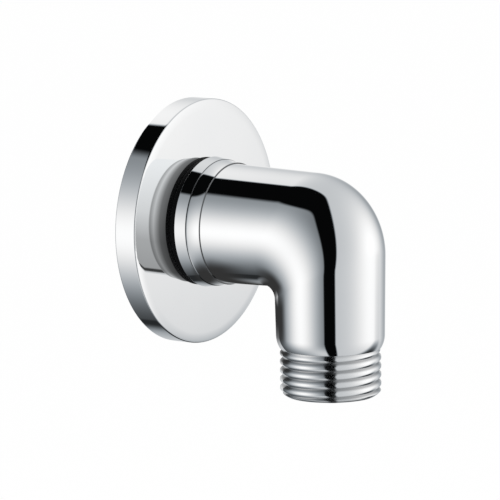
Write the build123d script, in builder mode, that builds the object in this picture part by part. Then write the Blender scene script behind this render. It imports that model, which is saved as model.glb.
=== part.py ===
"""Wall outlet elbow for a shower hose: flange, seal and chrome-plated elbow.

Millimetres. The wall is the plane Y = 0, the elbow leaves it along -Y and
its outlet thread points down, along -Z. The origin is the centre of the
flange's back face, on the wall.
"""
import os
from math import cos, radians, sin, tan

from build123d import *

# Pipe thread G 1/2, used at the inlet and at the outlet
thread_diameter = 20.955
thread_chamfer = 0.9

# Water passage, a drilling through each leg
passage_diameter = 14.0
passage_mouth_chamfer = 0.6
drill_point_angle = 118.0

# Wall flange, a flat-faced cup that hides the hole in the wall
flange_diameter = 51.5
flange_depth = 5.1
flange_face_wall = 1.8
flange_rim_wall = 1.8
face_roll_width = 2.2
face_roll_drop = 0.12
rim_back_chamfer = 0.3
flange_bore_clearance = 0.15

# Shank behind the collar: plain spigot, then the inlet thread
spigot_step = 0.42
spigot_length = 4.75
inlet_past_wall = 9.0

# Rubber seal on the spigot, between the flange face and the collar
seal_thickness = 1.25
seal_width = 2.45
seal_bore_clearance = 0.1

# Collar, two bands that narrow to the front, with a fine step between them
collar_overhang = 0.25
rear_band_width = 2.5
rear_band_taper = 0.25
band_step_width = 0.1
band_step_depth = 0.15
front_band_width = 3.0
front_band_taper = 0.5

# Elbow: tapered tube, bend and leg
reach = 35.8
tube_start_diameter = 25.0
tube_bend_diameter = 24.3
leg_taper = 0.17
outer_bend_radius = 15.8
inner_bend_radius = 2.6
bend_sections = 7

# Outlet: softly rounded end of the leg, then the hose thread
shoulder_drop = 23.7
shoulder_step = 0.77
shoulder_round_height = 2.7
shoulder_land = 0.05
outlet_thread_length = 9.9

# Places worked out from the sizes above
thread_radius = thread_diameter / 2
passage_radius = passage_diameter / 2
drill_point = passage_radius / tan(radians(drill_point_angle / 2))
passage_mouth_radius = passage_radius + passage_mouth_chamfer
flange_radius = flange_diameter / 2
spigot_radius = thread_radius + spigot_step
seal_bore_radius = spigot_radius + seal_bore_clearance
seal_radius = seal_bore_radius + seal_width
rear_band_radius = seal_radius + collar_overhang
rear_front_radius = rear_band_radius - rear_band_taper
front_back_radius = rear_front_radius - band_step_depth
front_edge_radius = front_back_radius - front_band_taper
tube_start_radius = tube_start_diameter / 2
tube_bend_radius = tube_bend_diameter / 2
leg_end_radius = thread_radius + shoulder_step
leg_bend_radius = leg_end_radius + leg_taper
collar_back = -(flange_depth + seal_thickness)
band_step = collar_back - rear_band_width
tube_start = band_step - band_step_width - front_band_width
outlet_end = -(shoulder_drop + outlet_thread_length)
shoulder_top = -(shoulder_drop - shoulder_round_height)


def bend_section(turn):
    """Plane and half sizes of the bend's section after a turn in degrees."""
    along = sin(radians(turn))
    across = cos(radians(turn))
    outer_y = -reach - leg_bend_radius + outer_bend_radius * (1 - along)
    outer_z = tube_bend_radius - outer_bend_radius * (1 - across)
    inner_y = -reach + leg_bend_radius + inner_bend_radius * (1 - along)
    inner_z = -tube_bend_radius - inner_bend_radius * (1 - across)
    middle = Vector(0, (outer_y + inner_y) / 2, (outer_z + inner_z) / 2)
    outward = Vector(0, (outer_y - inner_y) / 2, (outer_z - inner_z) / 2)
    ease = (1 - cos(radians(2 * turn))) / 2
    half_width = tube_bend_radius + (leg_bend_radius - tube_bend_radius) * ease
    plane = Plane(middle, x_dir=outward, z_dir=outward.cross(Vector(1, 0, 0)))
    return plane, outward.length, half_width


# Wall flange: face, rim and hollow back, turned about the inlet axis
face_flat_radius = flange_radius - face_roll_width
edge_front = -(flange_depth - face_roll_drop)
hollow_radius = flange_radius - flange_rim_wall
hollow_front = -(flange_depth - flange_face_wall)
bore_radius = spigot_radius + flange_bore_clearance
with BuildPart() as wall_flange:
    with BuildSketch(Plane.XY):
        with BuildLine():
            Line((bore_radius, hollow_front), (bore_radius, -flange_depth))
            Line((bore_radius, -flange_depth), (face_flat_radius, -flange_depth))
            TangentArc(
                (face_flat_radius, -flange_depth),
                (flange_radius, edge_front),
                tangent=(1, 0),
            )
            Line((flange_radius, edge_front), (flange_radius, 0))
            Line((flange_radius, 0), (hollow_radius, 0))
            Line((hollow_radius, 0), (hollow_radius, hollow_front))
            Line((hollow_radius, hollow_front), (bore_radius, hollow_front))
        make_face()
        rim_corner = vertices().group_by(Axis.X)[-1].sort_by(Axis.Y)[-1]
        chamfer(rim_corner, rim_back_chamfer)
    revolve(axis=Axis.Y)

# Flange seal: a flat rubber ring
with BuildPart() as flange_seal:
    with BuildSketch(Plane.XY):
        with BuildLine():
            Polyline(
                (seal_bore_radius, -flange_depth),
                (seal_radius, -flange_depth),
                (seal_radius, collar_back),
                (seal_bore_radius, collar_back),
                close=True,
            )
        make_face()
    revolve(axis=Axis.Y)

# Elbow body: shank and collar, then tube, bend, leg and outlet
inlet_thread_start = collar_back + spigot_length
front_band_back = band_step - band_step_width
leg_axis = Axis((0, -reach, 0), (0, 0, 1))
leg_plane = Plane((0, -reach, 0), x_dir=(1, 0, 0), z_dir=(0, -1, 0))
with BuildPart() as elbow_body:
    # Shank and collar, turned about the inlet axis
    with BuildSketch(Plane.XY):
        with BuildLine():
            Polyline(
                (0, inlet_past_wall),
                (thread_radius, inlet_past_wall),
                (thread_radius, inlet_thread_start),
                (spigot_radius, inlet_thread_start),
                (spigot_radius, collar_back),
                (rear_band_radius, collar_back),
                (rear_front_radius, band_step),
                (front_back_radius, front_band_back),
                (front_edge_radius, tube_start),
                (0, tube_start),
                close=True,
            )
        make_face()
        inlet_corner = vertices().group_by(Axis.Y)[-1].sort_by(Axis.X)[-1]
        chamfer(inlet_corner, thread_chamfer)
    revolve(axis=Axis.Y)

    # Tapered tube, from the collar to the slanted start of the bend
    with BuildSketch(Plane((0, tube_start, 0), x_dir=(0, 0, 1), z_dir=(0, -1, 0))):
        Circle(tube_start_radius)
    start_plane, start_height, start_width = bend_section(0)
    with BuildSketch(start_plane):
        Ellipse(start_height, start_width)
    loft()

    # Bend, through ellipses that swing from the tube to the leg
    for step in range(bend_sections):
        plane, half_height, half_width = bend_section(90 * step / (bend_sections - 1))
        with BuildSketch(plane):
            Ellipse(half_height, half_width)
    loft()

    # Leg, from the slanted end of the bend to the outlet
    end_plane, end_height, end_width = bend_section(90)
    with BuildSketch(end_plane):
        Ellipse(end_height, end_width)
    with BuildSketch(Plane((0, -reach, shoulder_top), x_dir=(0, -1, 0), z_dir=(0, 0, -1))):
        Circle(leg_end_radius)
    loft()

    # Shoulder and outlet thread, turned about the leg's axis
    with BuildSketch(leg_plane):
        with BuildLine():
            TangentArc(
                (leg_end_radius, shoulder_top),
                (thread_radius + shoulder_land, -shoulder_drop),
                tangent=(0, -1),
            )
            Polyline(
                (thread_radius + shoulder_land, -shoulder_drop),
                (thread_radius, -shoulder_drop),
                (thread_radius, outlet_end),
                (0, outlet_end),
                (0, shoulder_top),
                (leg_end_radius, shoulder_top),
            )
        make_face()
        outlet_corner = vertices().group_by(Axis.Y)[0].sort_by(Axis.X)[-1]
        chamfer(outlet_corner, thread_chamfer)
    revolve(axis=leg_axis)

    # Inlet drilling, with a chamfered mouth and a pointed end at the bend
    with BuildSketch(Plane.XY):
        with BuildLine():
            Polyline(
                (0, inlet_past_wall),
                (passage_mouth_radius, inlet_past_wall),
                (passage_radius, inlet_past_wall - passage_mouth_chamfer),
                (passage_radius, -reach),
                (0, -reach - drill_point),
                close=True,
            )
        make_face()
    revolve(axis=Axis.Y, mode=Mode.SUBTRACT)

    # Outlet drilling, up the leg to the inlet drilling
    with BuildSketch(leg_plane):
        with BuildLine():
            Polyline(
                (0, outlet_end),
                (passage_mouth_radius, outlet_end),
                (passage_radius, outlet_end + passage_mouth_chamfer),
                (passage_radius, 0),
                (0, drill_point),
                close=True,
            )
        make_face()
    revolve(axis=leg_axis, mode=Mode.SUBTRACT)

wall_flange.part.label = "wall_flange"
flange_seal.part.label = "flange_seal"
elbow_body.part.label = "elbow_body"

os.makedirs("parts", exist_ok=True)
export_step(wall_flange.part, "parts/wall_flange.step")
export_step(flange_seal.part, "parts/flange_seal.step")
export_step(elbow_body.part, "parts/elbow_body.step")
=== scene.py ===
import math

import bmesh
import bpy
from mathutils import Matrix, Vector


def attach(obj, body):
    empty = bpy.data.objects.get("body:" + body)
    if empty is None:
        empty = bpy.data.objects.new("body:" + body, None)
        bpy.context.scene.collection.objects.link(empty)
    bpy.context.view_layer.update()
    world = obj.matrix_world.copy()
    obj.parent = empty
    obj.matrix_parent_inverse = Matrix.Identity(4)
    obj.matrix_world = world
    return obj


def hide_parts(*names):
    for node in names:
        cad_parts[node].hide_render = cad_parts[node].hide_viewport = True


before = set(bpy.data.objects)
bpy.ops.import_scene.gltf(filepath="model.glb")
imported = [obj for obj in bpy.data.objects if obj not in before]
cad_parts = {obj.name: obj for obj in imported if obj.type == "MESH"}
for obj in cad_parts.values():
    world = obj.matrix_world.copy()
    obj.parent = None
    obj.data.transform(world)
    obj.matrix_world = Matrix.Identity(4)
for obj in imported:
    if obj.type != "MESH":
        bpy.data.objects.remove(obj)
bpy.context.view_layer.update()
mm = 0.001
print("frame loaded:", sorted(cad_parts))


# small helpers for node trees

def plug(tree, socket, value):
    if isinstance(value, bpy.types.NodeSocket):
        tree.links.new(value, socket)
    else:
        socket.default_value = value


def feed(socket):  # what is plugged into a socket so far
    return socket.links[0].from_socket


def addNode(tree, kind, values=(), **settings):  # the values fill its inputs in order
    node = tree.nodes.new(kind)
    for name, setting in settings.items():
        setattr(node, name, setting)
    for socket, value in zip(node.inputs, values):
        plug(tree, socket, value)
    return node


def calc(tree, operation, *values):  # one Math node
    return addNode(tree, "ShaderNodeMath", values, operation=operation).outputs[0]


def chain(tree, operation, *values):  # the same Math node over a list, such as a sum
    total = values[0]
    for value in values[1:]:
        total = calc(tree, operation, total, value)
    return total


def calcVector(tree, operation, *values):  # one Vector Math node
    node = addNode(tree, "ShaderNodeVectorMath", values, operation=operation)
    return node.outputs["Value" if operation == "DOT_PRODUCT" else "Vector"]


def remap(tree, value, low, high, toLow=0.0, toHigh=1.0, kind="SMOOTHSTEP"):
    values = (value, low, high, toLow, toHigh)
    return addNode(tree, "ShaderNodeMapRange", values, interpolation_type=kind).outputs[0]


def blendNumber(tree, first, second, share):
    return calc(tree, "MULTIPLY_ADD", calc(tree, "SUBTRACT", second, first), share, first)


def mix(tree, kind, share, first, second):  # one Mix node, its kind is RGBA or VECTOR
    node = addNode(tree, "ShaderNodeMix", (share,), data_type=kind)
    ends = [socket for socket in node.inputs if socket.type == kind and socket.name in "AB"]
    plug(tree, ends[0], first)
    plug(tree, ends[1], second)
    return [socket for socket in node.outputs if socket.type == kind][0]


def objectCoords(tree):
    return tree.nodes.new("ShaderNodeTexCoord").outputs["Object"]


def objectPlace(tree):  # x, y and z
    return addNode(tree, "ShaderNodeSeparateXYZ", (objectCoords(tree),)).outputs


# small helpers for meshes and objects

def toMesh(shape, name, *materials):  # ends a bmesh
    mesh = bpy.data.meshes.new(name)
    for material in materials:
        mesh.materials.append(material)
    shape.to_mesh(mesh)
    shape.free()
    return mesh


def addObject(name, data):
    item = bpy.data.objects.new(name, data)
    bpy.context.scene.collection.objects.link(item)
    return item


# geometry trees

def newTree(name, inputs):  # geometry tree with named inputs, made from a unit grid
    tree = bpy.data.node_groups.new(name, "GeometryNodeTree")
    kinds = {"Rows": "NodeSocketInt", "Segments": "NodeSocketInt", "Material": "NodeSocketMaterial"}
    for label in inputs:
        kind = kinds.get(label, "NodeSocketFloat")
        tree.interface.new_socket(name=label, in_out="INPUT", socket_type=kind)
    tree.interface.new_socket(name="Geometry", in_out="OUTPUT", socket_type="NodeSocketGeometry")
    sizes = tree.nodes.new("NodeGroupInput").outputs
    grid = tree.nodes.new("GeometryNodeMeshGrid")
    plug(tree, grid.inputs["Vertices X"], sizes["Rows"])
    plug(tree, grid.inputs["Vertices Y"], sizes["Segments"])
    position = tree.nodes.new("GeometryNodeInputPosition").outputs[0]
    place = addNode(tree, "ShaderNodeSeparateXYZ", (position,)).outputs
    along = calc(tree, "ADD", place["X"], 0.5)    # 0 to 1
    angle = calc(tree, "MULTIPLY", calc(tree, "ADD", place["Y"], 0.5), 2 * math.pi)
    return tree, sizes, grid.outputs["Mesh"], along, angle


def endTree(tree, sizes, mesh, x, y, z):  # moves the grid's points, then finishes the tree
    spot = addNode(tree, "ShaderNodeCombineXYZ", (x, y, z))
    move = tree.nodes.new("GeometryNodeSetPosition")
    plug(tree, move.inputs["Geometry"], mesh)
    plug(tree, move.inputs["Position"], spot.outputs[0])
    real = tree.nodes.new("GeometryNodeRealizeInstances")
    plug(tree, real.inputs[0], move.outputs[0])
    paint = tree.nodes.new("GeometryNodeSetMaterial")
    plug(tree, paint.inputs["Geometry"], real.outputs[0])
    plug(tree, paint.inputs["Material"], sizes["Material"])
    plug(tree, tree.nodes.new("NodeGroupOutput").inputs[0], paint.outputs[0])


def meshFromTree(tree, settings, material):
    holder = addObject(tree.name, bpy.data.meshes.new(tree.name))
    modifier = holder.modifiers.new("build", "NODES")
    modifier.node_group = tree
    for item in tree.interface.items_tree:
        if item.in_out == "INPUT":
            modifier[item.identifier] = material if item.name == "Material" else settings[item.name]
    graph = bpy.context.evaluated_depsgraph_get()
    mesh = bpy.data.meshes.new_from_object(holder.evaluated_get(graph))
    slotNumber = 1 if material == rawBrass else 0    # the elbow's two slots, plating and brass
    mesh.polygons.foreach_set("material_index", [slotNumber] * len(mesh.polygons))
    holder.modifiers.remove(modifier)
    bpy.data.objects.remove(holder)
    return mesh


# materials

touchNoise = {    # detail and roughness of each noise
    "Mark": (3.0, 0.55),
    "Grain": (2.0, 0.6),
}
noiseRange = (0.3, 0.7)    # stretched to 0 and 1


def makeTouchGroup():  # faint marks that plating, raw metal and rubber all share
    group = bpy.data.node_groups.new("surfaceTouch", "ShaderNodeTree")
    for label in touchNoise:
        group.interface.new_socket(name=label + " Size", in_out="INPUT", socket_type="NodeSocketFloat")
    for label in touchNoise:
        group.interface.new_socket(name=label, in_out="OUTPUT", socket_type="NodeSocketFloat")
    sizes = group.nodes.new("NodeGroupInput").outputs
    ends = group.nodes.new("NodeGroupOutput").inputs
    coords = objectCoords(group)
    for label, (detail, rough) in touchNoise.items():
        noise = group.nodes.new("ShaderNodeTexNoise")
        noise.inputs["Detail"].default_value = detail
        noise.inputs["Roughness"].default_value = rough
        plug(group, noise.inputs["Vector"], coords)
        plug(group, noise.inputs["Scale"], calc(group, "DIVIDE", 1.0, sizes[label + " Size"]))
        plug(group, ends[label], remap(group, noise.outputs[0], *noiseRange, kind="LINEAR"))
    return group


touchGroup = makeTouchGroup()


def newMaterial(name, settings):
    material = bpy.data.materials.new(name)
    material.use_nodes = True
    tree = material.node_tree
    shader = tree.nodes["Principled BSDF"].inputs
    shader["Metallic"].default_value = settings["metallic"]
    shader["Specular IOR Level"].default_value = settings["specular"]
    touch = addNode(tree, "ShaderNodeGroup", node_tree=touchGroup)
    touch.inputs["Mark Size"].default_value = settings["markSize"] * mm
    touch.inputs["Grain Size"].default_value = settings["grainSize"] * mm
    mark = touch.outputs["Mark"]
    color = mix(tree, "RGBA", mark, settings["colorA"] + (1.0,), settings["colorB"] + (1.0,))
    plug(tree, shader["Base Color"], color)
    plug(tree, shader["Roughness"], remap(tree, mark, 0.0, 1.0, *settings["roughness"], kind="LINEAR"))
    bump = tree.nodes.new("ShaderNodeBump")
    bump.inputs["Strength"].default_value = settings["bump"]
    bump.inputs["Distance"].default_value = settings["bumpDepth"] * mm
    plug(tree, bump.inputs["Height"], touch.outputs["Grain"])
    plug(tree, shader["Normal"], bump.outputs[0])
    return material


chromePlate = newMaterial("chromePlate", {
    "colorA": (0.925, 0.93, 0.935),
    "colorB": (0.945, 0.948, 0.95),
    "roughness": (0.022, 0.034),
    "metallic": 1.0,
    "specular": 0.5,
    "markSize": 14.0,   # mm
    "grainSize": 3.0,
    "bump": 0.04,
    "bumpDepth": 0.01,
})
rawBrass = newMaterial("rawBrass", {
    "colorA": (0.62, 0.45, 0.2),
    "colorB": (0.74, 0.56, 0.28),
    "roughness": (0.26, 0.4),
    "metallic": 1.0,
    "specular": 0.5,
    "markSize": 4.0,
    "grainSize": 0.5,
    "bump": 0.25,
    "bumpDepth": 0.02,
})
blackRubber = newMaterial("blackRubber", {
    "colorA": (0.003, 0.003, 0.0035),
    "colorB": (0.006, 0.006, 0.0065),
    "roughness": (0.55, 0.65),
    "metallic": 0.0,
    "specular": 0.06,
    "markSize": 3.0,
    "grainSize": 1.2,
    "bump": 0.06,
    "bumpDepth": 0.01,
})
print("materials made")


# turned shapes

edgeSteps = 6       # along a rounded edge
edgeReach = 1.5     # a ring on each side of it holds the flat faces flat
weldDistance = 0.001    # mm


def softProfile(points):  # points are axial, radius and edge rounding, in mm
    spread = []
    for index, (axial, radius, edge) in enumerate(points):
        corner = Vector((axial, radius))
        if edge == 0:
            spread.append(corner)
            continue
        before = (Vector(points[index - 1][:2]) - corner).normalized()
        after = (Vector(points[(index + 1) % len(points)][:2]) - corner).normalized()
        start = corner + before * edge
        end = corner + after * edge
        spread.append(corner + before * edge * edgeReach)
        for step in range(edgeSteps + 1):
            share = step / edgeSteps
            spread.append(start.lerp(corner, share).lerp(corner.lerp(end, share), share))
        spread.append(corner + after * edge * edgeReach)
    return spread


def onInletAxis(axial, radius, angle):
    return Vector((radius * math.sin(angle), axial, radius * math.cos(angle))) * mm


def turn(profile, place, segments, closed=False):
    shape = bmesh.new()
    rings = []
    for axial, radius in profile:
        angles = [2 * math.pi * step / segments for step in range(segments)]
        rings.append([shape.verts.new(place(axial, radius, angle)) for angle in angles])
    pairs = list(zip(rings, rings[1:]))
    if closed:
        pairs.append((rings[-1], rings[0]))
    for first, second in pairs:
        for step in range(segments):
            following = (step + 1) % segments
            shape.faces.new((first[step], first[following], second[following], second[step]))
    return toMesh(shape, "turned")


def finishPiece(name, sheets, materials, sharpAngle, node):  # welds the sheets to one closed piece
    shape = bmesh.new()
    for sheet in sheets:
        shape.from_mesh(sheet)
    bmesh.ops.remove_doubles(shape, verts=shape.verts, dist=weldDistance * mm)
    bmesh.ops.recalc_face_normals(shape, faces=shape.faces)
    for face in shape.faces:
        face.smooth = True
    openEdges = sum(1 for edge in shape.edges if not edge.is_manifold)
    mesh = toMesh(shape, name, *materials)
    mesh.set_sharp_from_angle(angle=math.radians(sharpAngle))
    piece = addObject(name, mesh)
    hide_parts(node)
    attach(piece, "root")
    print(name, "has", len(mesh.polygons), "faces and", openEdges, "open edges")
    return piece


# wall flange

flange = {
    "radius": 25.75,
    "depth": 5.1,
    "faceWall": 1.8,
    "rimWall": 1.8,
    "bore": 11.0475,
    "rollWidth": 2.2,    # soft fall of the face towards its edge
    "rollDrop": 0.12,
    "rollRings": 12,
    "flatRing": 2.0,     # the flat face has a ring this far inside the fall
    "edge": 0.3,
    "backEdge": 0.3,
    "boreEdge": 0.1,
    "rimInsideEdge": 0.2,
    "hollowEdge": 0.4,
    "segments": 288,
    "sharpAngle": 32,
}


def makeFlange():
    front = -flange["depth"]
    rimInside = flange["radius"] - flange["rimWall"]
    hollow = front + flange["faceWall"]
    flat = flange["radius"] - flange["rollWidth"]
    outline = [
        (hollow, flange["bore"], flange["boreEdge"]),
        (front, flange["bore"], flange["boreEdge"]),
        (front, flat - flange["flatRing"], 0),
    ]
    for ring in range(flange["rollRings"]):
        share = ring / flange["rollRings"]
        outline.append((front + flange["rollDrop"] * share ** 2, flat + flange["rollWidth"] * share, 0))
    outline += [
        (front + flange["rollDrop"], flange["radius"], flange["edge"]),
        (0.0, flange["radius"], flange["backEdge"]),
        (0.0, rimInside, flange["rimInsideEdge"]),
        (hollow, rimInside, flange["hollowEdge"]),
    ]
    sheet = turn(softProfile(outline), onInletAxis, flange["segments"], closed=True)
    return finishPiece("chromeFlange", [sheet], [chromePlate], flange["sharpAngle"],
                       "wall_flange")


chromeFlange = makeFlange()


# rubber seal

seal = {
    "front": -6.35,
    "back": -5.1,
    "radius": 13.4475,
    "crown": 0.04,    # its outside bulges by this
    "bore": 10.9975,
    "edge": 0.18,
    "boreEdge": 0.08,
    "segments": 192,
    "sharpAngle": 40,
}


def makeSeal():
    middle = (seal["front"] + seal["back"]) / 2
    outline = [
        (seal["back"], seal["bore"], seal["boreEdge"]),
        (seal["back"], seal["radius"] - seal["crown"], seal["edge"]),
        (middle, seal["radius"], 0),
        (seal["front"], seal["radius"] - seal["crown"], seal["edge"]),
        (seal["front"], seal["bore"], seal["boreEdge"]),
    ]
    sheet = turn(softProfile(outline), onInletAxis, seal["segments"], closed=True)
    finishPiece("rubberSeal", [sheet], [blackRubber], seal["sharpAngle"], "flange_seal")


makeSeal()


# elbow

elbow = {
    "segments": 160,
    "sharpAngle": 32,
    "reach": 35.8,
    "inletEnd": 9.0,
    "inletThreadStart": -1.6,
    "spigotRadius": 10.8975,
    "spigotEdge": 0.12,
    "collarBack": -6.35,
    "rearBand": (13.6975, 13.3),    # radius at its back and at its front
    "bandStep": -8.85,
    "bandStepWidth": 0.1,
    "frontBand": (13.2, 12.7975),    # slightly hollow
    "frontBandRings": 12,
    "tubeStart": -11.95,
    "bandEdge": 0.09,
    "stepEdge": 0.06,
    "bendRows": (0.2, 0.85),    # share of the rows at which the bend starts and ends
    "legEndRadius": 11.2475,
    "shoulderTop": -21.0,    # the leg rounds in from here
    "shoulder": -23.7,
    "shoulderRadius": 10.5275,
    "shoulderRings": 16,
    "outletEnd": -33.6,
    "mouth": 0.6,
    "mouthEdge": 0.1,
    "passage": 7.0,
}
tubeSizes = {
    "Rows": 101,
    "Reach": elbow["reach"],
    "Start": elbow["tubeStart"],
    "Start Radius": 12.5,
    "Tube Radius": 12.15,
    "Leg Radius": 11.4175,
    "End Radius": elbow["legEndRadius"],
    "End Height": elbow["shoulderTop"],
    "Outer Bend": 15.8,
    "Inner Bend": 2.6,
}
passageSizes = {
    "Rows": 61,
    "Reach": elbow["reach"],
    "Start": elbow["inletEnd"] - elbow["mouth"],
    "Start Radius": elbow["passage"],
    "Tube Radius": elbow["passage"],
    "Leg Radius": elbow["passage"],
    "End Radius": elbow["passage"],
    "End Height": elbow["outletEnd"] + elbow["mouth"],
    "Outer Bend": elbow["passage"],
    "Inner Bend": 0.8,
}
outletThread = {
    "Rows": 121,
    "Length": elbow["shoulder"] - elbow["outletEnd"],
    "Crest Radius": 10.4775,
    "Depth": 0.74,
    "Groove Power": 1.7,    # over 1 for broad crests and narrow grooves
    "Pitch": 1.814,
    "Neck Radius": 10.1,
    "Neck Length": 1.1,
    "End Chamfer": 0.9,
    "Chamfer Blend": 0.12,
    "End Radius": 9.45,
    "End Blend": 0.35,
    "Hand": 1.0,
    "Start Turn": 0.25,
}
inletThread = dict(outletThread)
inletThread["Rows"] = 113
inletThread["Length"] = elbow["inletEnd"] - elbow["inletThreadStart"]
inletThread["Hand"] = -1.0    # its placing mirrors it
grooveShadeAndFinish = {
    "root": 9.8,         # radius where the painted groove shade is darkest
    "flank": 10.4,       # and where the painted shade ends and the plain plating starts
    "limit": (10.55, 10.65),    # nothing wider than this is thread
    "ends": 0.15,        # plain plating at both ends of a thread
    "steps": (-6.35, -8.9, -11.97),    # back edge and fine steps of the collar, where thin lines of painted shade lie
    "stepWidth": 0.12,
    # painted shade: grey in the thread's grooves, near black along the collar's steps
    "color": (0.46, 0.465, 0.47),
    "stepShadeColor": (0.08, 0.082, 0.085),
    "dull": 0.1,
    "satin": 0.08,       # the whole thread is less polished
    "rounding": 0.51,    # and its plating rounds the flanks
}


def makeBendTree():  # a tube, a bend between two contour radii, and a leg
    tree, sizes, mesh, along, angle = newTree("bentTube", ["Segments", *tubeSizes, "Material"])
    bendStart, bendEnd = elbow["bendRows"]
    tubeShare = remap(tree, along, 0.0, bendStart, kind="LINEAR")
    bendShare = remap(tree, along, bendStart, bendEnd, kind="LINEAR")
    legShare = remap(tree, along, bendEnd, 1.0, kind="LINEAR")
    turned = calc(tree, "MULTIPLY", bendShare, math.pi / 2)
    lessSine = calc(tree, "SUBTRACT", 1.0, calc(tree, "SINE", turned))
    lessCosine = calc(tree, "SUBTRACT", 1.0, calc(tree, "COSINE", turned))
    legAxis = calc(tree, "MULTIPLY", sizes["Reach"], -1.0)
    outerY = calc(tree, "MULTIPLY_ADD", sizes["Outer Bend"], lessSine,
                  calc(tree, "SUBTRACT", legAxis, sizes["Leg Radius"]))
    innerY = calc(tree, "MULTIPLY_ADD", sizes["Inner Bend"], lessSine,
                  calc(tree, "ADD", legAxis, sizes["Leg Radius"]))
    outerZ = calc(tree, "SUBTRACT", sizes["Tube Radius"],
                  calc(tree, "MULTIPLY", sizes["Outer Bend"], lessCosine))
    innerZ = calc(tree, "SUBTRACT", calc(tree, "MULTIPLY", sizes["Tube Radius"], -1.0),
                  calc(tree, "MULTIPLY", sizes["Inner Bend"], lessCosine))
    ease = calc(tree, "POWER", calc(tree, "SINE", turned), 2.0)
    width = blendNumber(tree, sizes["Tube Radius"], sizes["Leg Radius"], ease)
    sine = calc(tree, "SINE", angle)
    cosine = calc(tree, "COSINE", angle)
    outward = calc(tree, "MULTIPLY_ADD", cosine, 0.5, 0.5)    # 1 on the outer contour, 0 on the inner
    bendSpot = (calc(tree, "MULTIPLY", width, sine),
                blendNumber(tree, innerY, outerY, outward),
                blendNumber(tree, innerZ, outerZ, outward))
    startSpot = (calc(tree, "MULTIPLY", sizes["Start Radius"], sine),
                 sizes["Start"],
                 calc(tree, "MULTIPLY", sizes["Start Radius"], cosine))
    endSpot = (calc(tree, "MULTIPLY", sizes["End Radius"], sine),
               calc(tree, "SUBTRACT", legAxis, calc(tree, "MULTIPLY", sizes["End Radius"], cosine)),
               sizes["End Height"])
    final = []
    for start, middle, end in zip(startSpot, bendSpot, endSpot):
        spot = blendNumber(tree, start, middle, tubeShare)
        spot = blendNumber(tree, spot, end, legShare)
        final.append(calc(tree, "MULTIPLY", spot, mm))
    endTree(tree, sizes, mesh, *final)
    return tree


def makeThreadTree():  # a helical thread between a plain neck and a chamfered end
    tree, sizes, mesh, along, angle = newTree("pipeThread", ["Segments", *outletThread, "Material"])
    height = calc(tree, "MULTIPLY", along, sizes["Length"])
    turns = calc(tree, "MULTIPLY", calc(tree, "DIVIDE", angle, 2 * math.pi), sizes["Hand"])
    phase = chain(tree, "ADD", calc(tree, "DIVIDE", height, sizes["Pitch"]), turns, sizes["Start Turn"])
    across = calc(tree, "MULTIPLY_ADD", calc(tree, "FRACT", phase), 2.0, -1.0)    # 0 on the crest
    wave = calc(tree, "COSINE", calc(tree, "MULTIPLY", across, math.pi))
    hollow = calc(tree, "MULTIPLY_ADD", wave, -0.5, 0.5)    # 0 on the crest, 1 in the groove
    crest = calc(tree, "SUBTRACT", 1.0, calc(tree, "POWER", hollow, sizes["Groove Power"]))
    root = calc(tree, "SUBTRACT", sizes["Crest Radius"], sizes["Depth"])
    radius = calc(tree, "MULTIPLY_ADD", crest, sizes["Depth"], root)
    radius = blendNumber(tree, sizes["Neck Radius"], radius,
                         remap(tree, height, 0.0, sizes["Neck Length"]))
    toEnd = calc(tree, "SUBTRACT", sizes["Length"], height)
    cone = calc(tree, "ADD", calc(tree, "SUBTRACT", sizes["Crest Radius"], sizes["End Chamfer"]), toEnd)
    radius = calc(tree, "SMOOTH_MIN", radius, cone, sizes["Chamfer Blend"])
    radius = blendNumber(tree, sizes["End Radius"], radius,
                         remap(tree, toEnd, 0.0, sizes["End Blend"]))
    radius = calc(tree, "MULTIPLY", radius, mm)
    endTree(tree, sizes, mesh,
            calc(tree, "MULTIPLY", radius, calc(tree, "SINE", angle)),
            calc(tree, "MULTIPLY", radius, calc(tree, "COSINE", angle)),
            calc(tree, "MULTIPLY", height, mm))
    return tree


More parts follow.
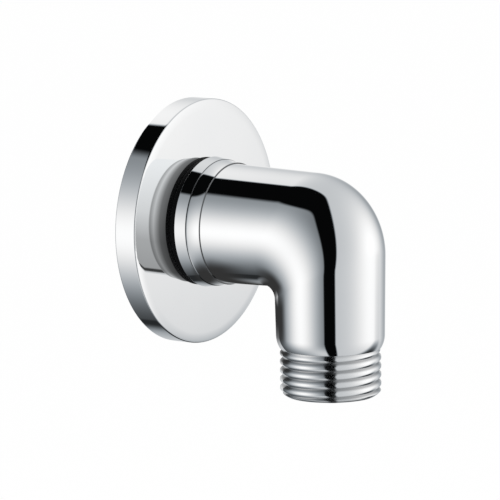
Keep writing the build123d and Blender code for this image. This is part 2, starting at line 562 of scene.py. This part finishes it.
def paintGrooveShade():  # painted shade darkens the bottom of a thread's grooves and thin lines along the collar's steps; both are also a little rougher
    tree = chromePlate.node_tree
    shader = tree.nodes["Principled BSDF"].inputs
    x, y, z = objectPlace(tree)
    fromLegY = calc(tree, "ADD", y, elbow["reach"] * mm)
    soft = grooveShadeAndFinish["ends"] * mm
    inside, outside = grooveShadeAndFinish["limit"]
    grooveShadeMasks = []
    for across, axis, along, start, end in (
        (fromLegY, "Y", z, elbow["outletEnd"] * mm, elbow["shoulder"] * mm),
        (z, "Z", y, elbow["inletThreadStart"] * mm, elbow["inletEnd"] * mm),
    ):
        squares = calc(tree, "ADD", calc(tree, "POWER", x, 2.0), calc(tree, "POWER", across, 2.0))
        radius = calc(tree, "SQRT", squares)
        deep = remap(tree, radius, grooveShadeAndFinish["root"] * mm, grooveShadeAndFinish["flank"] * mm, 1.0, 0.0)
        after = remap(tree, along, start + soft, start + 2 * soft)
        before = remap(tree, along, end - soft, end, 1.0, 0.0)
        slim = remap(tree, radius, inside * mm, outside * mm, 1.0, 0.0)
        onThread = chain(tree, "MULTIPLY", after, before, slim)
        grooveShadeMasks.append(calc(tree, "MULTIPLY", deep, onThread))
        satin = calc(tree, "MULTIPLY_ADD", onThread, grooveShadeAndFinish["satin"], feed(shader["Roughness"]))
        plug(tree, shader["Roughness"], satin)
        outward = tree.nodes.new("ShaderNodeCombineXYZ")
        plug(tree, outward.inputs["X"], calc(tree, "DIVIDE", x, radius))
        plug(tree, outward.inputs[axis], calc(tree, "DIVIDE", across, radius))
        share = calc(tree, "MULTIPLY", onThread, grooveShadeAndFinish["rounding"])
        lean = mix(tree, "VECTOR", share, feed(shader["Normal"]), outward.outputs[0])
        plug(tree, shader["Normal"], calcVector(tree, "NORMALIZE", lean))
    stepShadeLines = []
    for step in grooveShadeAndFinish["steps"]:
        away = calc(tree, "ABSOLUTE", calc(tree, "SUBTRACT", y, step * mm))
        stepShadeLines.append(remap(tree, away, 0.0, grooveShadeAndFinish["stepWidth"] * mm, 1.0, 0.0))
    # painted shade: the grooves and the step lines turn darker and a little rougher
    for places, key in ((grooveShadeMasks, "color"), (stepShadeLines, "stepShadeColor")):
        hollow = chain(tree, "MAXIMUM", *places)
        color = mix(tree, "RGBA", hollow, feed(shader["Base Color"]), grooveShadeAndFinish[key] + (1.0,))
        gloss = calc(tree, "MULTIPLY_ADD", hollow, grooveShadeAndFinish["dull"], feed(shader["Roughness"]))
        plug(tree, shader["Base Color"], color)
        plug(tree, shader["Roughness"], gloss)


def onLegAxis(axial, radius, angle):
    return Vector((radius * math.sin(angle), -elbow["reach"] - radius * math.cos(angle), axial)) * mm


def makeCollar():  # spigot, rear band, fine step and front band, up to the tube
    outline = [
        (elbow["inletThreadStart"], outletThread["Neck Radius"], 0),
        (elbow["inletThreadStart"], elbow["spigotRadius"], elbow["spigotEdge"]),
        (elbow["collarBack"], elbow["spigotRadius"], 0),
        (elbow["collarBack"], elbow["rearBand"][0], elbow["bandEdge"]),
        (elbow["bandStep"], elbow["rearBand"][1], elbow["stepEdge"]),
    ]
    bandBack = elbow["bandStep"] - elbow["bandStepWidth"]
    bandWidth = elbow["tubeStart"] - bandBack
    wide, slim = elbow["frontBand"]
    for step in range(elbow["frontBandRings"]):
        share = step / elbow["frontBandRings"]
        outline.append((bandBack + bandWidth * share, slim + (wide - slim) * (1 - share) ** 2, 0))
    outline += [
        (elbow["tubeStart"], slim, elbow["stepEdge"]),
        (elbow["tubeStart"], tubeSizes["Start Radius"], 0),
    ]
    return turn(softProfile(outline), onInletAxis, elbow["segments"])


def makeShoulder():  # soft end of the leg, above the outlet thread
    drop = elbow["shoulderTop"] - elbow["shoulder"]
    narrow = elbow["legEndRadius"] - elbow["shoulderRadius"]
    roundRadius = (drop ** 2 + narrow ** 2) / (2 * narrow)    # arc that leaves the leg without a crease
    outline = []
    for step in range(elbow["shoulderRings"]):
        fall = math.asin(drop / roundRadius) * step / elbow["shoulderRings"]
        outline.append((elbow["shoulderTop"] - roundRadius * math.sin(fall),
                        elbow["legEndRadius"] - roundRadius * (1 - math.cos(fall)), 0))
    outline += [
        (elbow["shoulder"], elbow["shoulderRadius"], elbow["stepEdge"]),
        (elbow["shoulder"], outletThread["Neck Radius"], 0),
    ]
    return turn(softProfile(outline), onLegAxis, elbow["segments"])


def makeEndFace(end, mouth, place):  # from a thread's end over the chamfered mouth into the passage
    outline = [
        (end, outletThread["End Radius"], 0),
        (end, elbow["passage"] + elbow["mouth"], elbow["mouthEdge"]),
        (end + mouth, elbow["passage"], 0),
    ]
    return turn(softProfile(outline), place, elbow["segments"])


def makeElbow():
    around = {"Segments": elbow["segments"] + 1}
    bendTree = makeBendTree()
    threadTree = makeThreadTree()
    tube = meshFromTree(bendTree, {**tubeSizes, **around}, chromePlate)
    passage = meshFromTree(bendTree, {**passageSizes, **around}, rawBrass)
    outlet = meshFromTree(threadTree, {**outletThread, **around}, chromePlate)
    outlet.transform(Matrix(((1, 0, 0, 0), (0, -1, 0, -elbow["reach"] * mm),
                             (0, 0, -1, elbow["shoulder"] * mm), (0, 0, 0, 1))))
    inlet = meshFromTree(threadTree, {**inletThread, **around}, chromePlate)
    inlet.transform(Matrix(((1, 0, 0, 0), (0, 0, 1, elbow["inletThreadStart"] * mm),
                            (0, 1, 0, 0), (0, 0, 0, 1))))
    print("tube, passage and threads grown from their trees")
    inletFace = makeEndFace(elbow["inletEnd"], -elbow["mouth"], onInletAxis)
    outletFace = makeEndFace(elbow["outletEnd"], elbow["mouth"], onLegAxis)
    sheets = [tube, passage, outlet, inlet, inletFace, makeCollar(), makeShoulder(), outletFace]
    return finishPiece("chromeElbow", sheets, [chromePlate, rawBrass], elbow["sharpAngle"],
                       "elbow_body")


chromeElbow = makeElbow()
# painted shade in the thread's grooves and along the collar's steps
paintGrooveShade()
for piece in (chromeFlange, chromeElbow):    # the two mirror the tent and its cards, not each other
    piece.visible_glossy = False


# camera

shot = {
    "azimuth": -55.812,
    "elevation": 9.489,
    "roll": -0.504,
    "distance": 720.119,
    "target": (-5.979, -20.0, -4.029),
    "focalPixels": 3489.777,
    "framePixels": 500,
    "sensor": 36.0,
    "clip": (0.01, 100),    # m
}


def fromTurn(turnDegrees, riseDegrees):  # a direction, turned to the right of the camera
    azimuth = math.radians(shot["azimuth"] + turnDegrees)
    rise = math.radians(riseDegrees)
    flat = math.cos(rise)
    return Vector((math.sin(azimuth) * flat, -math.cos(azimuth) * flat, math.sin(rise)))


def makeCamera():
    back = fromTurn(0, shot["elevation"])
    level = fromTurn(90, 0)
    upright = back.cross(level)
    roll = math.radians(shot["roll"])
    right = math.cos(roll) * level + math.sin(roll) * upright
    up = math.cos(roll) * upright - math.sin(roll) * level
    data = bpy.data.cameras.new("camera")
    data.sensor_fit = "HORIZONTAL"
    data.sensor_width = shot["sensor"]
    data.lens = shot["focalPixels"] / shot["framePixels"] * shot["sensor"]
    data.clip_start, data.clip_end = shot["clip"]
    camera = addObject("camera", data)
    spot = (Vector(shot["target"]) + back * shot["distance"]) * mm
    camera.matrix_world = Matrix.Translation(spot) @ Matrix((right, up, back)).transposed().to_4x4()
    bpy.context.scene.camera = camera


makeCamera()
print("camera placed")


# studio

def studioMaterial(name):  # an empty material and its tree
    material = bpy.data.materials.new(name)
    material.use_nodes = True
    material.node_tree.nodes.clear()
    return material, material.node_tree


def endMaterial(tree, shader):
    plug(tree, tree.nodes.new("ShaderNodeOutputMaterial").inputs["Surface"], shader.outputs[0])


def onlyMirrored(item):  # studio items that only show in the metal
    item.visible_camera = False
    item.visible_diffuse = False
    item.visible_shadow = False
    item.visible_transmission = False


# tent, a cloth on the left and one on the right of a dark slit

tent = {
    "center": (-4.0, -27.0, -4.0),
    "radius": 600.0,
    "segments": (64, 32),
    "leftBase": 0.017,
    "leftGlows": (    # soft spots, turned to the right of the camera and raised, in degrees
        {"turn": -66, "rise": -8, "tight": 4.5, "level": 1.03},
        {"turn": -150, "rise": 88, "tight": 2.8, "level": 0.29},
        {"turn": -15, "rise": -60, "tight": 10.0, "level": 0.5},
    ),
    "rightBase": 0.56,
    "rightGlows": (
        {"turn": 92, "rise": 2, "tight": 3.9, "level": 0.54},
        {"turn": 155, "rise": 2, "tight": 7.3, "level": -0.31},    # a dip
        {"turn": 173, "rise": -5, "tight": 40.0, "level": 0.6},    # on the flange's rim
        {"turn": -139, "rise": 23, "tight": 8.0, "level": 0.92},
    ),
    "gap": 0.002,    # level of the slit
    "edge": 0.057,    # softness of the cloth's edges
    "nearEdges": (    # slopes to the camera, to its right and up
        (-0.138, 1.0, 0.0), (-0.11, 1.0, -0.105), (-0.118, 1.0, 0.12),
    ),
    "farEdge": (-0.655, 0.755, -0.012),
    "sideEdge": (-0.233, -1.0, -0.085),
    "topEdge": 0.778,
    "nearBlends": (0.12, 0.03),    # how round the edges' corners are
    "farBlend": 0.12,
    "topBlend": 0.2,
    "frontLift": (-0.35, 0.25, 0.0, 0.8),    # the right cloth fades to its foot, less in front
    "backLift": (-0.45, -0.75, 0.0, 0.35),    # and less behind
    "footFade": (-0.67, -0.064, 0.04, 1.0),
    "coolGrey": (0.9, 0.985, 1.06),
    "coolRange": (0.1, 0.95),    # levels between which the grey turns white
}


def makeTent():  # what polished metal is photographed in, open towards the camera and above
    material, tree = studioMaterial("tentCloth")
    direction = calcVector(tree, "NORMALIZE", objectCoords(tree))

    def towards(turnDegrees, riseDegrees):
        return calcVector(tree, "DOT_PRODUCT", direction, fromTurn(turnDegrees, riseDegrees))

    toCamera = towards(0, 0)
    toRight = towards(90, 0)
    toTop = towards(0, 90)

    def glow(spot):
        off = calc(tree, "SUBTRACT", towards(spot["turn"], spot["rise"]), 1.0)
        falloff = calc(tree, "EXPONENT", calc(tree, "MULTIPLY", off, spot["tight"]))
        return calc(tree, "MULTIPLY", falloff, spot["level"])

    def clothEdge(slopes):  # over 0 on one side of a straight edge
        parts = zip((toCamera, toRight, toTop), slopes)
        return chain(tree, "ADD", *(calc(tree, "MULTIPLY", side, slope) for side, slope in parts))

    nearEdge = clothEdge(tent["nearEdges"][0])
    for slopes, blend in zip(tent["nearEdges"][1:], tent["nearBlends"]):
        nearEdge = calc(tree, "SMOOTH_MIN", nearEdge, clothEdge(slopes), blend)
    rightEdge = calc(tree, "SMOOTH_MAX", nearEdge, clothEdge(tent["farEdge"]), tent["farBlend"])
    rightCloth = remap(tree, rightEdge, 0.0, tent["edge"])
    topEdge = calc(tree, "SUBTRACT", tent["topEdge"], toTop)
    leftEdge = calc(tree, "SMOOTH_MIN", clothEdge(tent["sideEdge"]), topEdge, tent["topBlend"])
    leftCloth = remap(tree, leftEdge, 0.0, tent["edge"])
    frontLift = remap(tree, toCamera, *tent["frontLift"])
    backLift = remap(tree, toCamera, *tent["backLift"])
    height = chain(tree, "ADD", toTop, frontLift, backLift)
    rightLight = chain(tree, "ADD", tent["rightBase"], *(glow(spot) for spot in tent["rightGlows"]))
    rightLight = calc(tree, "MULTIPLY", rightLight, remap(tree, height, *tent["footFade"]))
    leftLight = chain(tree, "ADD", tent["leftBase"], *(glow(spot) for spot in tent["leftGlows"]))
    seen = calc(tree, "MAXIMUM", calc(tree, "MULTIPLY", leftLight, leftCloth), tent["gap"])
    seen = blendNumber(tree, seen, rightLight, rightCloth)
    emit = tree.nodes.new("ShaderNodeEmission")
    plug(tree, emit.inputs["Strength"], seen)
    white = remap(tree, seen, *tent["coolRange"])
    color = mix(tree, "RGBA", white, tent["coolGrey"] + (1.0,), (1.0, 1.0, 1.0, 1.0))
    plug(tree, emit.inputs["Color"], color)
    endMaterial(tree, emit)
    shape = bmesh.new()
    around, upright = tent["segments"]
    bmesh.ops.create_uvsphere(shape, u_segments=around, v_segments=upright, radius=tent["radius"] * mm)
    cloth = addObject("tent", toMesh(shape, "tent", material))
    cloth.location = Vector(tent["center"]) * mm
    onlyMirrored(cloth)


# two cards that stand in for what flange and elbow would mirror of each other

collarCard = {
    "outline": (    # just inside the collar and the tube
        (-5.2, 13.1), (-8.8, 13.1), (-9.2, 13.0), (-11.1, 12.7), (-11.2, 12.3), (-22.0, 12.1),
    ),
    "segments": 128,
    "tones": (    # from the wall outwards
        (5.2, 0.04), (8.0, 0.14), (9.7, 0.47), (10.8, 0.28), (11.2, 0.62),
    ),
    "heights": (    # and from its bottom to its top
        (-12.0, 1.25), (-10.0, 0.55), (-3.0, 0.66), (3.0, 1.1), (12.0, 1.42),
    ),
    "tubeFrom": (-11.1, -11.3),
    "tubeLine": (-10.4, 0.8),    # dark line along the bottom of the tube, its height and half width
    "lineCore": 0.3,    # share of it that is darkest
    "lineTone": 0.1,
    "tint": (0.975, 1.0, 1.015),
}


def makeCollarCard():  # for the flange's face
    material, tree = studioMaterial("collarCard")
    place = objectPlace(tree)
    levels = []
    for key, along, sign in (("tones", place["Y"], -1), ("heights", place["Z"], 1)):
        ramp = tree.nodes.new("ShaderNodeValToRGB")
        first, last = collarCard[key][0][0], collarCard[key][-1][0]
        share = remap(tree, along, sign * first * mm, sign * last * mm, kind="LINEAR")
        plug(tree, ramp.inputs[0], share)
        stops = ramp.color_ramp.elements
        while len(stops) < len(collarCard[key]):
            stops.new(0.5)
        for stop, (spot, level) in zip(stops, collarCard[key]):
            stop.position = (spot - first) / (last - first)
            stop.color = (level, level, level, 1.0)
        levels.append(ramp.outputs["Color"])
    middle, halfWidth = collarCard["tubeLine"]
    core = collarCard["lineCore"] * halfWidth
    away = calc(tree, "ABSOLUTE", calc(tree, "SUBTRACT", place["Z"], middle * mm))
    line = remap(tree, away, core * mm, halfWidth * mm, collarCard["lineTone"], 1.0)
    tubeBack, tubeFront = collarCard["tubeFrom"]
    onTube = remap(tree, place["Y"], tubeBack * mm, tubeFront * mm)
    levels.append(blendNumber(tree, 1.0, line, onTube))
    emit = tree.nodes.new("ShaderNodeEmission")
    emit.inputs["Color"].default_value = collarCard["tint"] + (1.0,)
    plug(tree, emit.inputs["Strength"], chain(tree, "MULTIPLY", *levels))
    endMaterial(tree, emit)
    mesh = turn(collarCard["outline"], onInletAxis, collarCard["segments"])
    mesh.materials.append(material)
    onlyMirrored(addObject("collarCard", mesh))


legCard = {
    "place": -5.0,    # just behind the flange's face
    "sides": (-22.0, 50.0),
    "bottom": -36.0,
    "fadeLeft": (-20.0, -8.0),
    "fadeRight": (50.0, 20.0),
    "fadeTop": (-15.0, -20.0),
    "fadeBottom": (-36.0, -23.0),
    "level": 0.035,
}


def makeLegCard():  # for the leg's side towards the wall, which mirrors the flange's dark lower half
    material, tree = studioMaterial("legCard")
    place = objectPlace(tree)
    emit = tree.nodes.new("ShaderNodeEmission")
    emit.inputs["Strength"].default_value = legCard["level"]
    fades = []
    for along, key in (("X", "fadeLeft"), ("X", "fadeRight"), ("Z", "fadeTop"), ("Z", "fadeBottom")):
        fadeFrom, fadeTo = legCard[key]
        fades.append(remap(tree, place[along], fadeFrom * mm, fadeTo * mm))
    clear = tree.nodes.new("ShaderNodeBsdfTransparent")
    values = (chain(tree, "MULTIPLY", *fades), clear.outputs[0], emit.outputs[0])
    endMaterial(tree, addNode(tree, "ShaderNodeMixShader", values))
    left, right = legCard["sides"]
    top, bottom = legCard["fadeTop"][0], legCard["bottom"]
    outline = ((left, bottom), (right, bottom), (right, top), (left, top))
    corners = [Vector((x, legCard["place"], z)) * mm for x, z in outline]
    mesh = bpy.data.meshes.new("legCard")
    mesh.from_pydata(corners, [], [(0, 1, 2, 3)])
    mesh.materials.append(material)
    onlyMirrored(addObject("legCard", mesh))


# floor, world and lamps

light = {
    "floorDrop": 0.65,    # m
    "floorSize": 20.0,
    "floorColor": (0.85, 0.85, 0.85, 1),
    "floorRoughness": 0.9,
    "floorGlow": 1.05,    # white to the view
    "floorGlowShare": 0.9,    # the rest takes the shadow
    "worldFill": 0.55,
    "lamps": {"leftLamp": (-75, 20), "rightLamp": (83, 35)},    # turn and rise
    "lampSize": 0.7,
    "lampDistance": 1.1,
    "lampPower": 9.0,
}


def whiteToView(tree):  # 1 for what the camera, metal and glass see
    path = tree.nodes.new("ShaderNodeLightPath").outputs
    rays = ("Is Camera Ray", "Is Glossy Ray", "Is Transmission Ray")
    return chain(tree, "MAXIMUM", *(path[ray] for ray in rays))


def makeFloorAndWorld():
    material, tree = studioMaterial("paleFloor")
    matte = tree.nodes.new("ShaderNodeBsdfPrincipled")
    matte.inputs["Base Color"].default_value = light["floorColor"]
    matte.inputs["Roughness"].default_value = light["floorRoughness"]
    emit = tree.nodes.new("ShaderNodeEmission")
    emit.inputs["Strength"].default_value = light["floorGlow"]
    share = calc(tree, "MULTIPLY", whiteToView(tree), light["floorGlowShare"])
    endMaterial(tree, addNode(tree, "ShaderNodeMixShader", (share, matte.outputs[0], emit.outputs[0])))
    shape = bmesh.new()
    bmesh.ops.create_grid(shape, x_segments=2, y_segments=2, size=light["floorSize"])
    floor = addObject("floor", toMesh(shape, "floor", material))
    floor.location.z = -light["floorDrop"]

    world = bpy.data.worlds.new("studio")
    world.use_nodes = True
    tree = world.node_tree
    background = tree.nodes["Background"].inputs
    background["Color"].default_value = (1, 1, 1, 1)
    fill = remap(tree, whiteToView(tree), 0.0, 1.0, light["worldFill"], 1.0, kind="LINEAR")
    plug(tree, background["Strength"], fill)
    bpy.context.scene.world = world


def makeLamps():
    for name, (turnDegrees, riseDegrees) in light["lamps"].items():
        data = bpy.data.lights.new(name, "AREA")
        data.shape = "SQUARE"
        data.size = light["lampSize"]
        data.energy = light["lampPower"]
        lamp = addObject(name, data)
        aim = fromTurn(turnDegrees, riseDegrees)
        lamp.location = Vector(tent["center"]) * mm + aim * light["lampDistance"]
        lamp.rotation_mode = "QUATERNION"
        lamp.rotation_quaternion = aim.to_track_quat("Z", "Y")
        lamp.visible_glossy = False    # the tent is what metal shows


makeTent()
makeCollarCard()
makeLegCard()
makeFloorAndWorld()
makeLamps()
bpy.context.scene.view_settings.view_transform = "Standard"
print("studio lit")
